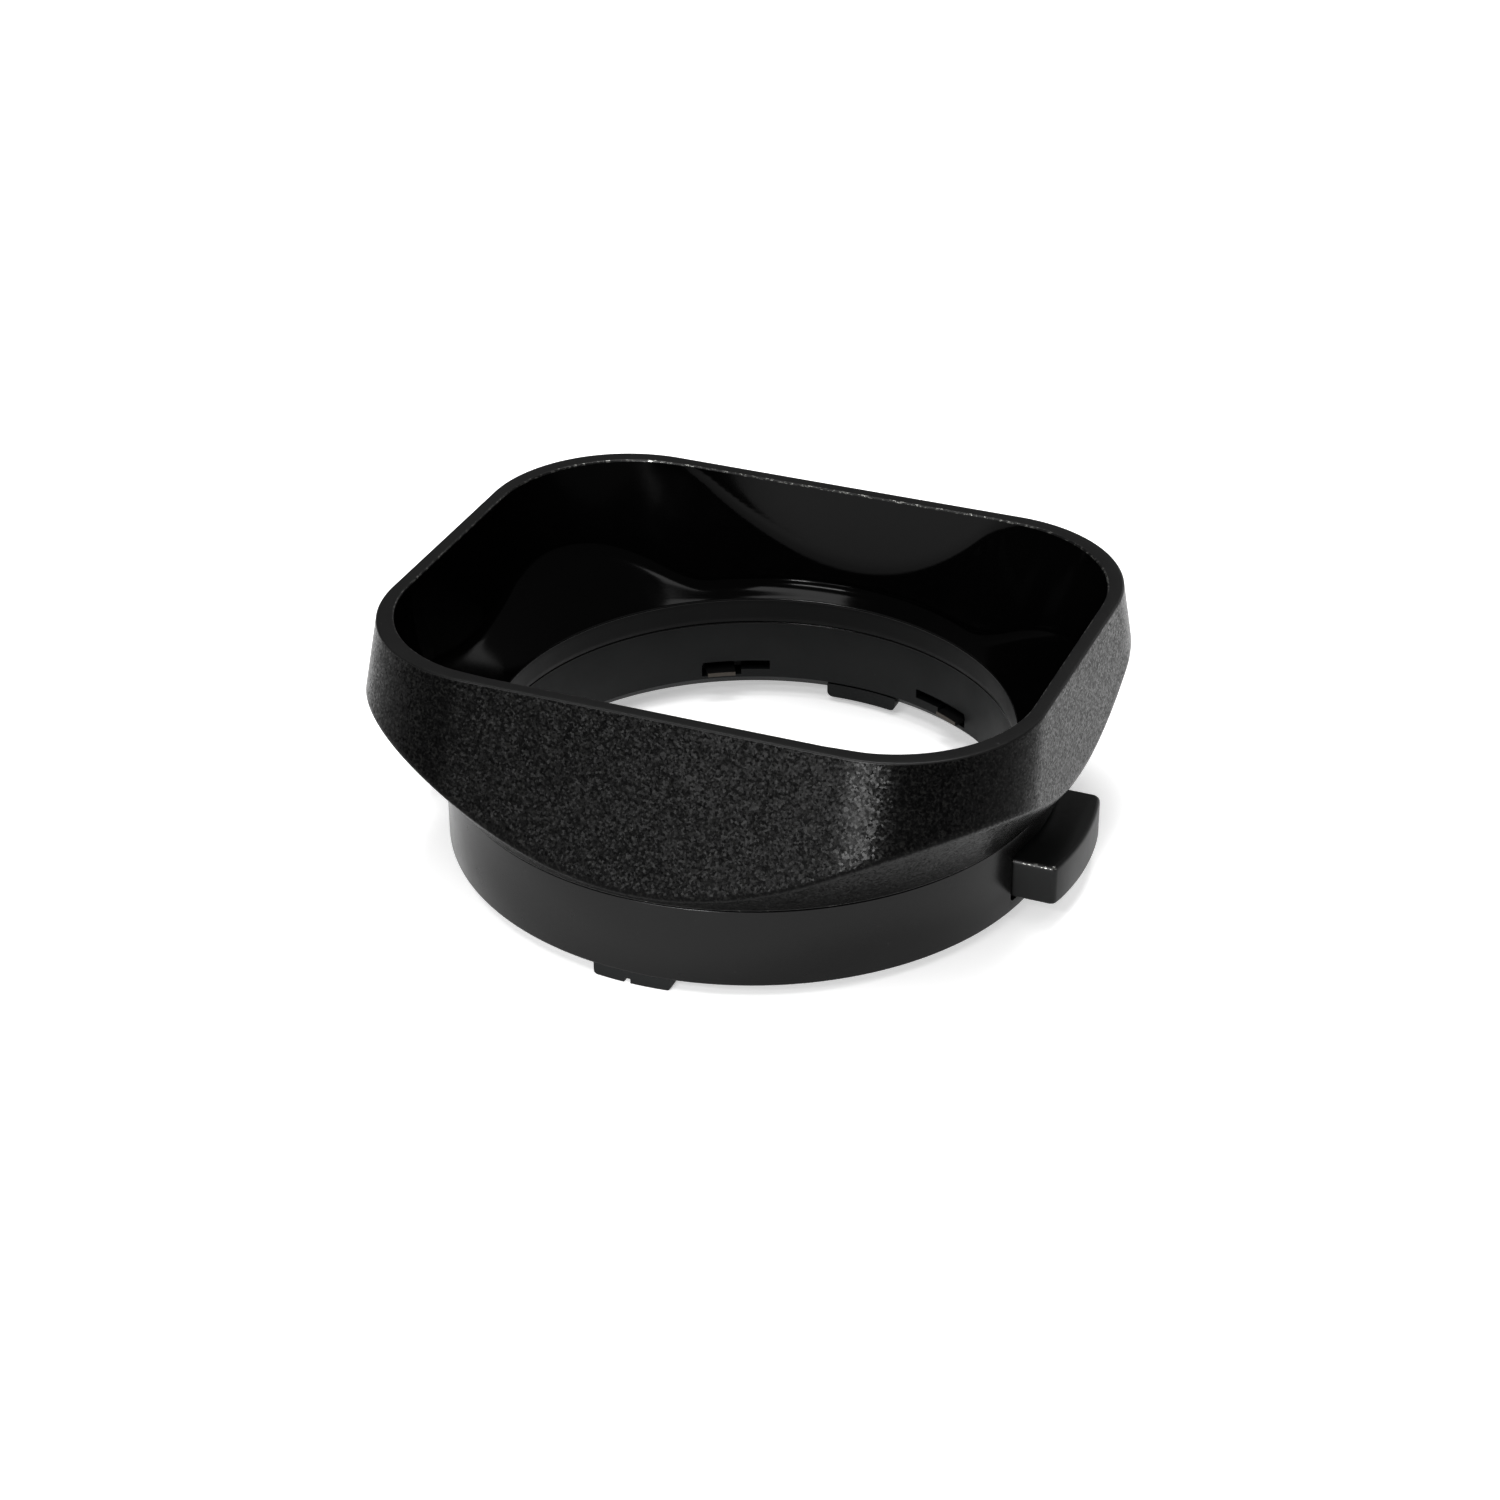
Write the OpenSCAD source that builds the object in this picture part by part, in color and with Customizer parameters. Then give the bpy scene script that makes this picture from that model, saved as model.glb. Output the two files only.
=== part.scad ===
// Clip-on lens hood: a rounded-rectangular shade on a round collar, held on a lens
// front by two spring-loaded claw plates that two side tabs release when squeezed.
// Units are millimetres. Z is the optical axis, the mouth faces +Z, and z = 0 is the
// collar's rear edge. X is the mouth's long direction and runs through both tabs.

/* [Collar] */
// outer radius of the collar
collar_r = 28; // [20:0.1:40]
// inner radius of the collar wall
collar_inner_r = 26.95; // [19:0.05:39]
// height of the collar
collar_h = 7.55; // [5:0.05:12]
// underside of the collar's top flange, above the rear edge
collar_flange_z = 6.3; // [4:0.05:11]
// inner radius of the collar's top flange
collar_flange_r = 25; // [18:0.05:38]
// bevel on the collar's two outer edges
collar_edge = 0.18; // [0.05:0.01:0.5]
// radius of a boss that takes a rear screw
boss_r = 1.1; // [0.8:0.05:2]
// height of a boss above the sleeve's flange
boss_h = 1.6; // [1:0.1:3]

/* [Shade] */
// height of the rim above the collar's rear edge
rim_z = 22.78; // [15:0.01:40]
// height where the shade's visible lower edge starts
shade_z = 7.76; // [5:0.01:12]
// half of the rim's outside length, along X
rim_a = 30.55; // [24:0.05:45]
// half of the rim's outside width, along Y
rim_b = 23.48; // [18:0.05:40]
// outside corner radius at the rim
rim_corner = 13.23; // [5:0.01:20]
// how far the long walls lean in towards the rim, per millimetre of height
lean_y = 0.37; // [0:0.01:0.6]
// how far the short walls lean in towards the rim, per millimetre of height
lean_x = 0.06; // [0:0.01:0.3]
// how much the corner radius grows downwards, per millimetre of height
corner_growth = 0.06; // [0:0.01:0.3]
// radius of the cone that trims the walls, at the lower edge
trim_r = 28.17; // [20:0.01:40]
// how fast that cone widens, per millimetre of height
trim_slope = 0.764; // [0.3:0.001:1.5]
// wall thickness at the rim
rim_wall = 1.28; // [0.8:0.01:3]
// inward draft of the pocket below the rim, per millimetre of height
pocket_draft = 0.16; // [0:0.01:0.4]
// how much the pocket's corner radius grows downwards, per millimetre of height
pocket_corner_growth = 0.12; // [0:0.01:0.3]
// radius of the throat
throat_r = 23.88; // [15:0.01:35]
// top of the throat
throat_top_z = 9.66; // [8:0.01:15]
// how fast the funnel above the throat widens, per millimetre of height
funnel_slope = 1.1; // [0.5:0.01:2]
// radius of the conical bore that blends into the pocket, at its lower end
bore_r = 25.2; // [18:0.01:35]
// height of that lower end
bore_z = 10.92; // [9:0.01:16]
// width of the seat that stands on the collar, measured from the collar's outside
seat_inset = 0.7; // [0.3:0.05:2]
// bottom of the shade's spigot, inside the collar's flange
spigot_z = 7.22; // [6:0.01:8]

/* [Mounting sleeve] */
// bore radius, which slips over the front of the lens
sleeve_r = 24; // [15:0.05:35]
// wall thickness of the sleeve
sleeve_wall = 0.8; // [0.5:0.05:2]
// top of the sleeve
sleeve_top_z = 7.1; // [5:0.05:9]
// thickness of the sleeve's rear flange
flange_h = 1; // [0.6:0.05:2]
// outer radius of the sleeve's rear flange
flange_r = 26.9; // [18:0.05:38]
// lead-in bevel at the rear end of the bore
lead_in = 1; // [0.3:0.05:1.5]
// slots that the claws pass through: angles from the Y axis, degrees
slot_angles = [18.5, 34.3];
// height range of a slot
slot_z = [1.85, 2.8];
// angle from the Y axis where the slot steps down to let the claw through
notch_angle = 25.2; // [20:0.1:30]
// bottom of that step
notch_z = 1.3; // [1.1:0.05:1.6]

/* [Locating keys] */
// depth of the far key and of the near key below the collar
key_depth = [0.6, 1.25];
// radial range of the keys
key_r = [24, 27.75];
// half of a key's width
key_half_w = 3.6; // [2:0.1:6]
// sideways place of the far key and of the near key
key_x = [1.6, -0.1];
// bevel at the corners of the far key and of the near key
key_bevel = [0.5, 0.3];
// width of the notch in the near key
key_notch_w = 0.6; // [0.3:0.05:1.5]
// depth of that notch
key_notch_h = 0.45; // [0.1:0.05:0.8]
// sideways place of that notch
key_notch_x = -0.45; // [-2:0.05:2]

/* [Side tabs] */
// half of a tab's length
tab_half_y = 6.6; // [4:0.1:12]
// height range of a tab
tab_z = [1.4, 5.3];
// radius of a tab's curved outer face
tab_face_r = 28; // [15:0.5:40]
// how far a tab's outer face stands from the axis
tab_reach = 31.8; // [29:0.05:36]
// bevel on the tab's outer edges
tab_bevel = 0.5; // [0.1:0.05:1]
// clearance round a tab in its window
window_gap = 0.3; // [0.1:0.05:0.6]
// radial range of the slider plate behind a tab
slider_r = [26.15, 26.75];
// half of a slider plate's length
slider_half_y = 7.9; // [5:0.1:13]
// height range of a slider plate
slider_z = [1.3, 6];

/* [Claws] */
// radial range of a claw plate
claw_plate_r = [25.35, 25.7];
// half of the angle of the strap that is riveted to the spring, degrees
strap_half_angle = 14; // [8:0.5:20]
// height range of that strap
strap_z = [2.5, 5.1];
// half of the angle of the arm that carries the claws, degrees
arm_half_angle = 34.5; // [25:0.5:40]
// height range of that arm
arm_z = [1.6, 2.7];
// angles of a claw from the Y axis, degrees
claw_angles = [26.7, 33.4];
// thickness of a claw
claw_h = 0.4; // [0.2:0.05:1]
// radius of the claw tips, inside the bore
claw_tip_r = 23.2; // [20:0.05:24]

/* [Spring] */
// outside half lengths of the oval spring band, along X and Y
band_half = [26.1, 25.25];
// thickness of the band
band_t = 0.3; // [0.1:0.05:0.6]
// height range of the band
band_z = [3, 5];

/* [Screws and rivets] */
// radius of the circle that the collar's screws stand on
screw_circle_r = 25.95; // [20:0.05:30]
// radius of a screw's shank
screw_r = 0.45; // [0.3:0.05:1]
// radius of a flange screw's head
pan_r = 0.9; // [0.6:0.05:1.5]
// height of a flange screw's head
pan_h = 0.6; // [0.3:0.05:1]
// radius of a countersunk head
csk_r = 0.8; // [0.6:0.05:1.5]
// depth of a countersunk head
csk_h = 0.4; // [0.2:0.05:0.8]
// width and depth of the driver slot in a screw's head
driver_slot = [0.2, 0.2];
// how far a flange screw reaches into the shade, above the shade's lower edge
flange_screw_bite = 1.8; // [1:0.1:2.5]
// length of a rear screw
rear_screw_l = 1.9; // [1.5:0.1:2.1]
// length of a tab screw
tab_screw_l = 3; // [1.5:0.1:4]
// distance of a tab screw from the tab's middle
tab_screw_y = 4.5; // [2:0.1:6]
// height of the tab screws
tab_screw_z = 2.15; // [1.8:0.05:4]
// distance of a rivet from the plate's middle
rivet_x = 3.5; // [2:0.1:6]
// height of the rivets
rivet_z = 4; // [3.2:0.1:4.8]
// radius of a rivet
rivet_r = 0.6; // [0.3:0.05:1]
// radius of a rivet's head
rivet_head_r = 0.9; // [0.7:0.05:1.1]
// distance from the axis to the flat seat under a rivet's head
rivet_seat_y = 25.48; // [25.3:0.01:25.7]
// distance from the axis to a rivet's inner end
rivet_end_y = 24.75; // [24.3:0.05:25]

/* [Hidden] */
$fn = 96;
corner_fn = 64;
// flats round the oval spring band
band_steps = 120;
eps = 0.01;
big = 80;
// screw holes are this much wider than their screws, and this much deeper
hole_gap = 0.02;
hole_depth_gap = 0.2;
// the walls seen from the rim down to their lower edge
drop = rim_z - shade_z;
// radius of the shade's seat on the collar
seat_r = collar_r - seat_inset;
// the spigot stands just inside the collar's flange
spigot_r = collar_flange_r - 0.1;
// x of the slider plate's inner face where a tab screw sits
tab_screw_x = sqrt(pow(slider_r[0], 2) - pow(tab_screw_y - csk_r, 2));
black = [0.03, 0.03, 0.032];
satin = [0.06, 0.06, 0.062];
steel = [0.55, 0.55, 0.57];

// an upright rounded slab, half lengths a and b, corner radius r
module rounded_slab(a, b, r, z) {
    translate([0, 0, z]) linear_extrude(height = eps)
        hull() for (sx = [-1, 1], sy = [-1, 1])
            translate([sx * (a - r), sy * (b - r)]) circle(r = r, $fn = corner_fn);
}

// a ring with exact walls
module ring(r_in, r_out, z0, z1) {
    translate([0, 0, z0]) difference() {
        cylinder(r = r_out, h = z1 - z0);
        translate([0, 0, -1]) cylinder(r = r_in, h = z1 - z0 + 2);
    }
}

// an upright wedge that covers the angles a0 to a1
module wedge(a0, a1, z0, z1) {
    mid = (a0 + a1) / 2;
    far = big / cos((a1 - a0) / 2);
    translate([0, 0, z0]) linear_extrude(height = z1 - z0) polygon([
        [0, 0],
        [far * cos(a0), far * sin(a0)],
        [far * cos(mid), far * sin(mid)],
        [far * cos(a1), far * sin(a1)]
    ]);
}

// part of a ring between two angles
module arc_wall(r_in, r_out, z0, z1, a0, a1) {
    intersection() {
        ring(r_in, r_out, z0, z1);
        wedge(a0, a1, z0 - 1, z1 + 1);
    }
}

// ---------------------------------------------------------------- shade
module shade_outside() {
    intersection() {
        hull() {
            rounded_slab(rim_a + lean_x * drop, rim_b + lean_y * drop,
                         rim_corner + corner_growth * drop, shade_z);
            rounded_slab(rim_a, rim_b, rim_corner, rim_z - eps);
        }
        translate([0, 0, shade_z])
            cylinder(r1 = trim_r, r2 = trim_r + trim_slope * drop, h = drop);
    }
}

module shade_pocket() {
    a = rim_a - rim_wall;
    b = rim_b - rim_wall;
    r = rim_corner - 0.6;
    depth = rim_z - bore_z + 1;
    inset = pocket_draft * depth;
    hull() {
        rounded_slab(a - inset, b - inset, r + pocket_corner_growth * depth, rim_z - depth);
        rounded_slab(a + pocket_draft, b + pocket_draft, r - pocket_corner_growth, rim_z + 1);
    }
}

// starts below the throat's top, where the funnel trims it
module shade_bore() {
    z0 = throat_top_z - 1;
    z1 = rim_z + 1;
    translate([0, 0, z0])
        cylinder(r1 = bore_r + pocket_draft * (z0 - bore_z), r2 = bore_r + pocket_draft * (z1 - bore_z),
                 h = z1 - z0);
}

// the inner faces of the long walls follow the lean of the outer ones
module shade_slab() {
    b = rim_b - rim_wall;
    z0 = spigot_z - 1;
    z1 = rim_z + 2;
    rotate([90, 0, 90]) translate([0, 0, -big / 2]) linear_extrude(height = big) polygon([
        [-b - lean_y * (rim_z - z0), z0],
        [b + lean_y * (rim_z - z0), z0],
        [b - lean_y * (z1 - rim_z), z1],
        [-b + lean_y * (z1 - rim_z), z1]
    ]);
}

module shade_cavity() {
    rise = rim_z + 2 - throat_top_z;
    below = spigot_z - 1;
    intersection() {
        union() {
            shade_pocket();
            shade_bore();
        }
        shade_slab();
        translate([0, 0, throat_top_z])
            cylinder(r1 = throat_r, r2 = throat_r + funnel_slope * rise, h = rise);
    }
    translate([0, 0, below]) cylinder(r = throat_r, h = throat_top_z - below + eps);
}

module shade() {
    color(black) difference() {
        union() {
            shade_outside();
            translate([0, 0, collar_h]) cylinder(r = seat_r, h = shade_z - collar_h + eps);
            translate([0, 0, spigot_z]) cylinder(r = spigot_r, h = collar_h - spigot_z + eps);
        }
        shade_cavity();
        for (i = [0:3]) rotate([0, 0, 45 + 90 * i]) translate([screw_circle_r, 0, spigot_z])
            cylinder(r = screw_r + hole_gap, $fn = 32,
                     h = shade_z - spigot_z + flange_screw_bite + hole_depth_gap);
    }
}

// ---------------------------------------------------------------- collar
// an opening for a tab, on the side that turn gives
module tab_window(turn) {
    w = tab_half_y + window_gap;
    rotate([0, 0, turn]) translate([collar_inner_r - 3, -w, tab_z[0] - window_gap])
        cube([collar_r - collar_inner_r + 5, 2 * w, tab_z[1] - tab_z[0] + 2 * window_gap]);
}

module collar_shell() {
    rotate_extrude() polygon([
        [collar_inner_r, 0],
        [collar_r - collar_edge, 0],
        [collar_r, collar_edge],
        [collar_r, collar_h - collar_edge],
        [collar_r - collar_edge, collar_h],
        [collar_flange_r, collar_h],
        [collar_flange_r, collar_flange_z],
        [collar_inner_r, collar_flange_z]
    ]);
}

module collar() {
    color(satin) difference() {
        union() {
            collar_shell();
            for (i = [0:3]) rotate([0, 0, 45 + 90 * i]) intersection() {
                translate([screw_circle_r, 0, flange_h]) cylinder(r = boss_r, h = boss_h, $fn = 48);
                translate([0, 0, flange_h]) cylinder(r = collar_inner_r + 0.3, h = boss_h);
            }
        }
        for (turn = [0, 180]) tab_window(turn);
        for (i = [0:3]) rotate([0, 0, 45 + 90 * i]) translate([screw_circle_r, 0, 0]) {
            cylinder(r = screw_r + hole_gap, h = rear_screw_l + hole_depth_gap, $fn = 32);
            translate([0, 0, collar_flange_z - 1])
                cylinder(r = screw_r + hole_gap, h = collar_h - collar_flange_z + 2, $fn = 32);
        }
    }
}

// ---------------------------------------------------------------- mounting sleeve
module claw_slot(side_y, side_x) {
    a0 = side_x > 0 ? 90 - slot_angles[1] : 90 + slot_angles[0];
    a1 = side_x > 0 ? 90 - slot_angles[0] : 90 + slot_angles[1];
    n0 = side_x > 0 ? a0 - 0.2 : 90 + notch_angle;
    n1 = side_x > 0 ? 90 - notch_angle : a1 + 0.2;
    turn = side_y > 0 ? 0 : 180;
    rotate([0, 0, turn]) {
        arc_wall(sleeve_r - 2, sleeve_r + sleeve_wall + 1, slot_z[0], slot_z[1], a0, a1);
        arc_wall(sleeve_r - 2, sleeve_r + sleeve_wall + 1, notch_z, slot_z[1] - 0.2, n0, n1);
    }
}

module key_block(x, half_w, bevel, depth, top, r_in, r_out) {
    intersection() {
        ring(r_in, r_out, -depth - 1, top);
        rotate([90, 0, 0]) translate([x, 0, -big]) linear_extrude(height = big) polygon([
            [-half_w + bevel, -depth],
            [half_w - bevel, -depth],
            [half_w, -depth + bevel],
            [half_w, top],
            [-half_w, top],
            [-half_w, -depth + bevel]
        ]);
    }
}

// the part of a key inside the collar's wall stands on the flange and fills its bevel
module locating_key(x, depth, bevel) {
    key_block(x, key_half_w, bevel, depth, flange_h - 0.2, key_r[0], key_r[0] + 1.8);
    key_block(x, key_half_w, bevel, depth, 0.2, key_r[0] + 1, collar_inner_r - 0.15);
    key_block(x, key_half_w, bevel, depth, -0.05, collar_inner_r - 0.5, key_r[1]);
}

module mount_sleeve() {
    outer = sleeve_r + sleeve_wall;
    color(black) difference() {
        union() {
            rotate_extrude() polygon([
                [sleeve_r + lead_in, 0],
                [flange_r, 0],
                [flange_r, flange_h],
                [outer, flange_h],
                [outer, sleeve_top_z],
                [sleeve_r, sleeve_top_z],
                [sleeve_r, lead_in]
            ]);
            locating_key(key_x[0], key_depth[0], key_bevel[0]);
            rotate([0, 0, 180]) locating_key(-key_x[1], key_depth[1], key_bevel[1]);
        }
        for (sy = [-1, 1], sx = [-1, 1]) claw_slot(sy, sx);
        translate([key_notch_x - key_notch_w / 2, -key_r[1] - 1, -key_depth[1] - 1])
            cube([key_notch_w, 6, key_notch_h + 1]);
        for (i = [0:3]) rotate([0, 0, 45 + 90 * i]) translate([screw_circle_r, 0, -eps]) {
            cylinder(r1 = csk_r + hole_gap, r2 = screw_r + hole_gap, h = csk_h, $fn = 32);
            cylinder(r = screw_r + hole_gap, h = flange_h + 1, $fn = 32);
        }
    }
}

// ---------------------------------------------------------------- spring band
module oval(a, b) {
    polygon([for (i = [0:band_steps - 1]) [a * cos(360 * i / band_steps), b * sin(360 * i / band_steps)]]);
}

module spring_band() {
    color(steel) difference() {
        translate([0, 0, band_z[0]]) linear_extrude(height = band_z[1] - band_z[0]) difference() {
            oval(band_half[0], band_half[1]);
            oval(band_half[0] - band_t, band_half[1] - band_t);
        }
        for (turn = [0, 180], s = [-1, 1]) rotate([0, 0, turn])
            translate([s * rivet_x, band_half[1] - 1, rivet_z]) rotate([-90, 0, 0])
                cylinder(r = rivet_r + 0.05, h = 2, $fn = 32);
    }
}

// ---------------------------------------------------------------- screws
module flange_screw(turn) {
    color(steel) rotate([0, 0, turn]) translate([screw_circle_r, 0, 0]) difference() {
        union() {
            translate([0, 0, collar_flange_z - pan_h]) cylinder(r = pan_r, h = pan_h, $fn = 32);
            translate([0, 0, collar_flange_z - eps])
                cylinder(r = screw_r, h = shade_z + flange_screw_bite - collar_flange_z, $fn = 32);
        }
        translate([-driver_slot[0] / 2, -pan_r, collar_flange_z - pan_h - eps])
            cube([driver_slot[0], 2 * pan_r, driver_slot[1] + eps]);
    }
}

module countersunk_screw(length) {
    difference() {
        union() {
            cylinder(r1 = csk_r, r2 = screw_r, h = csk_h, $fn = 32);
            cylinder(r = screw_r, h = length, $fn = 32);
        }
        translate([-driver_slot[0] / 2, -csk_r, -eps])
            cube([driver_slot[0], 2 * csk_r, driver_slot[1] + eps]);
    }
}

module rear_screw(turn) {
    color(steel) rotate([0, 0, turn]) translate([screw_circle_r, 0, 0])
        countersunk_screw(rear_screw_l);
}

// ---------------------------------------------------------------- side tabs
module tab_screw(turn, side) {
    color(steel) rotate([0, 0, turn])
        translate([tab_screw_x, side * tab_screw_y, tab_screw_z]) rotate([0, 90, 0])
            countersunk_screw(tab_screw_l);
}

module tab_screw_hole(side) {
    translate([tab_screw_x, side * tab_screw_y, tab_screw_z]) rotate([0, 90, 0]) {
        translate([0, 0, -1]) cylinder(r = csk_r + hole_gap, h = 1 + eps, $fn = 32);
        cylinder(r1 = csk_r + hole_gap, r2 = screw_r + hole_gap, h = csk_h, $fn = 32);
        cylinder(r = screw_r + hole_gap, h = tab_screw_l + hole_depth_gap, $fn = 32);
    }
}

module tab(turn) {
    height = tab_z[1] - tab_z[0];
    root_x = slider_r[0] - 3;
    // where the bevel of a tab's outer corner starts
    corner_x = tab_reach - tab_face_r + sqrt(pow(tab_face_r, 2) - pow(tab_half_y, 2)) - tab_bevel;
    color(satin) rotate([0, 0, turn]) difference() {
        intersection() {
            translate([tab_reach - tab_face_r, 0, tab_z[0]]) union() {
                cylinder(r = tab_face_r, h = height - tab_bevel);
                translate([0, 0, height - tab_bevel - eps])
                    cylinder(r1 = tab_face_r, r2 = tab_face_r - tab_bevel, h = tab_bevel + eps);
            }
            linear_extrude(height = big) polygon([
                [root_x, -tab_half_y],
                [corner_x, -tab_half_y],
                [corner_x + tab_bevel, -tab_half_y + tab_bevel],
                [big, -tab_half_y + tab_bevel],
                [big, tab_half_y - tab_bevel],
                [corner_x + tab_bevel, tab_half_y - tab_bevel],
                [corner_x, tab_half_y],
                [root_x, tab_half_y]
            ]);
        }
        translate([0, 0, -1]) cylinder(r = slider_r[1], h = 20);
        for (side = [-1, 1]) tab_screw_hole(side);
    }
}

module slider_plate(turn) {
    color(steel) rotate([0, 0, turn]) difference() {
        intersection() {
            ring(slider_r[0], slider_r[1], slider_z[0], slider_z[1]);
            translate([0, -slider_half_y, 0]) cube([big, 2 * slider_half_y, 20]);
        }
        for (side = [-1, 1]) tab_screw_hole(side);
    }
}

// ---------------------------------------------------------------- claw plates
module claw_plate(turn) {
    color(steel) rotate([0, 0, turn]) difference() {
        union() {
            arc_wall(claw_plate_r[0], claw_plate_r[1], strap_z[0], strap_z[1],
                     90 - strap_half_angle, 90 + strap_half_angle);
            arc_wall(claw_plate_r[0], claw_plate_r[1], arm_z[0], arm_z[1],
                     90 - arm_half_angle, 90 + arm_half_angle);
            for (s = [-1, 1]) {
                a = [90 + s * claw_angles[0], 90 + s * claw_angles[1]];
                arc_wall(claw_tip_r, claw_plate_r[1], arm_z[0], arm_z[0] + claw_h, min(a), max(a));
            }
        }
        for (s = [-1, 1]) translate([s * rivet_x, 0, rivet_z]) rotate([-90, 0, 0]) {
            translate([0, 0, claw_plate_r[0] - 3]) cylinder(r = rivet_r + hole_gap, h = 6, $fn = 32);
            translate([0, 0, rivet_seat_y - eps]) cylinder(r = rivet_head_r + hole_gap, h = 3, $fn = 32);
        }
    }
}

module claw_rivet(turn, side) {
    color(steel) rotate([0, 0, turn])
        translate([side * rivet_x, rivet_end_y, rivet_z]) rotate([-90, 0, 0]) union() {
            cylinder(r = rivet_r, h = rivet_seat_y - rivet_end_y + eps, $fn = 32);
            translate([0, 0, rivet_seat_y - rivet_end_y]) cylinder(r = rivet_head_r, h = 0.12, $fn = 32);
        }
}

shade();
collar();
mount_sleeve();
spring_band();
flange_screw(45);  // flange_screw_1
flange_screw(135);  // flange_screw_2
flange_screw(225);  // flange_screw_3
flange_screw(315);  // flange_screw_4
rear_screw(45);  // rear_screw_1
rear_screw(135);  // rear_screw_2
rear_screw(225);  // rear_screw_3
rear_screw(315);  // rear_screw_4
tab(0);  // right_tab
slider_plate(0);  // right_slider_plate
tab_screw(0, -1);  // right_tab_screw_1
tab_screw(0, 1);  // right_tab_screw_2
tab(180);  // left_tab
slider_plate(180);  // left_slider_plate
tab_screw(180, -1);  // left_tab_screw_1
tab_screw(180, 1);  // left_tab_screw_2
claw_plate(0);  // far_claw_plate
claw_rivet(0, -1);  // far_claw_rivet_1
claw_rivet(0, 1);  // far_claw_rivet_2
claw_plate(180);  // near_claw_plate
claw_rivet(180, -1);  // near_claw_rivet_1
claw_rivet(180, 1);  // near_claw_rivet_2
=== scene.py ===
"""Looks of the clip-on lens hood: shade, collar, mounting sleeve and finger tabs.

Shapes are written in millimetres and become metres in new_object(). The camera's place is written in
millimetres too. Lights and the scales of textures are in metres.
"""

import math

import bmesh
import bpy
from mathutils import Matrix, Vector


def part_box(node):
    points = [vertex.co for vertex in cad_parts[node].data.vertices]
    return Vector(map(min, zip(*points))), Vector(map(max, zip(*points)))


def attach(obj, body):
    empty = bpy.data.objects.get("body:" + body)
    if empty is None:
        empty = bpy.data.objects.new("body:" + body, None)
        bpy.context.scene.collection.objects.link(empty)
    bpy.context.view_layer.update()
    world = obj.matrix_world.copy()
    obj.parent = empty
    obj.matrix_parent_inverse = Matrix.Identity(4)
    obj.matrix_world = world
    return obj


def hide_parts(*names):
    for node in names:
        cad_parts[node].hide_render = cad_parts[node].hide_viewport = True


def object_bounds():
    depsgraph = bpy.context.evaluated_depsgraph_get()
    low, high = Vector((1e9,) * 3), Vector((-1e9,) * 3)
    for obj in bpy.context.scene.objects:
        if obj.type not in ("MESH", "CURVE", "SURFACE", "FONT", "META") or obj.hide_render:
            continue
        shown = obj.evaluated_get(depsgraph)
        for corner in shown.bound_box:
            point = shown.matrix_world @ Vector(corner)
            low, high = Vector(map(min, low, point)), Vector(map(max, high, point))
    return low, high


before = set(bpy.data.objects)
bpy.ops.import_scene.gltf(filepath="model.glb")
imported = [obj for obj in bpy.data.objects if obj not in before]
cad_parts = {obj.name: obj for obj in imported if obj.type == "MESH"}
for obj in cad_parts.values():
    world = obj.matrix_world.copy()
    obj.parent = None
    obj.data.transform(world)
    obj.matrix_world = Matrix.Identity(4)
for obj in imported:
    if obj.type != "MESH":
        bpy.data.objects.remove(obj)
cad_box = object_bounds()

# one millimetre, in metres
MM = 0.001
# keeps a division by a sine or a cosine finite
TINY = 1e-9

# ---------------------------------------------------------------- sizes of the shade, in millimetres
# outer radius and top of the collar, read from the CAD model
COLLAR_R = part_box("collar")[1].x / MM
COLLAR_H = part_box("collar")[1].z / MM
# top and bottom of the shade, read from the CAD model
RIM_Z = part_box("shade")[1].z / MM
SPIGOT_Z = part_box("shade")[0].z / MM
# height of the shade's visible lower edge
SHADE_Z = 7.76
# radius of the recess between that edge and the collar's top
SEAT_R = 27.3
# radius of the spigot that reaches down into the collar
SPIGOT_R = 24.9
# half length, half width and corner radius of the rim
RIM_A = 30.55
RIM_B = 23.48
RIM_CORNER = 13.23
# thickness of the wall at the rim
RIM_WALL = 1.28
# how much the short and the long walls move out for each millimetre below the rim
LEAN_X = 0.06
LEAN_Y = 0.37
# growth of the outer corner radius for each millimetre below the rim
CORNER_GROWTH = 0.06
# the cone that trims the walls from below: its radius at SHADE_Z and its growth with height
TRIM_R = 28.17
TRIM_SLOPE = 0.764
# how much the walls of the pocket inside the shade move in for each millimetre below the rim
DRAFT = 0.16
# the pocket's corner radius: how much less it is than the rim's, and its growth below the rim
POCKET_CORNER_INSET = 0.6
POCKET_CORNER_GROWTH = 0.12
# radius and top of the round throat
THROAT_R = 23.88
THROAT_TOP = 9.66
# the funnel's growth in radius with height
FUNNEL_SLOPE = 1.1
# the round bore above the funnel: its radius, and the height where it has that radius
BORE_R = 25.2
BORE_Z = 10.92
# widths over which the creases between the shade's surfaces are rounded
CONE_CREASE = 0.35
BORE_CREASE = 1.4
LEAN_CREASE = 0.5
FUNNEL_CREASE = 0.6
# highest place where a crease is looked for
CREASE_TOP = RIM_Z - 1
# roundings of the spigot, of the lower lip, and of the rim's outer and inner edges
SPIGOT_ROUND = 0.06
LIP_ROUND = 0.06
RIM_OUTER_ROUND = 0.22
RIM_INNER_ROUND = 0.14
# a narrow band beside each rounding keeps the shading of the wall flat
GUARD = 0.04
# the rounded edge between funnel and throat: its start above the throat's top, and its height
THROAT_EDGE_START = 0.12
THROAT_EDGE_H = 0.25
# heights of two extra rings on the throat's wall, below its top and above its bottom
LAND_BELOW_TOP = 0.6
LAND_ABOVE_BOTTOM = 0.5
# numbers of rings below and above the crease, outside and inside
OUTER_RINGS = (9, 14)
INNER_RINGS = (10, 34)
# how strongly those rings crowd round the crease
CROWDING = 1.8
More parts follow.
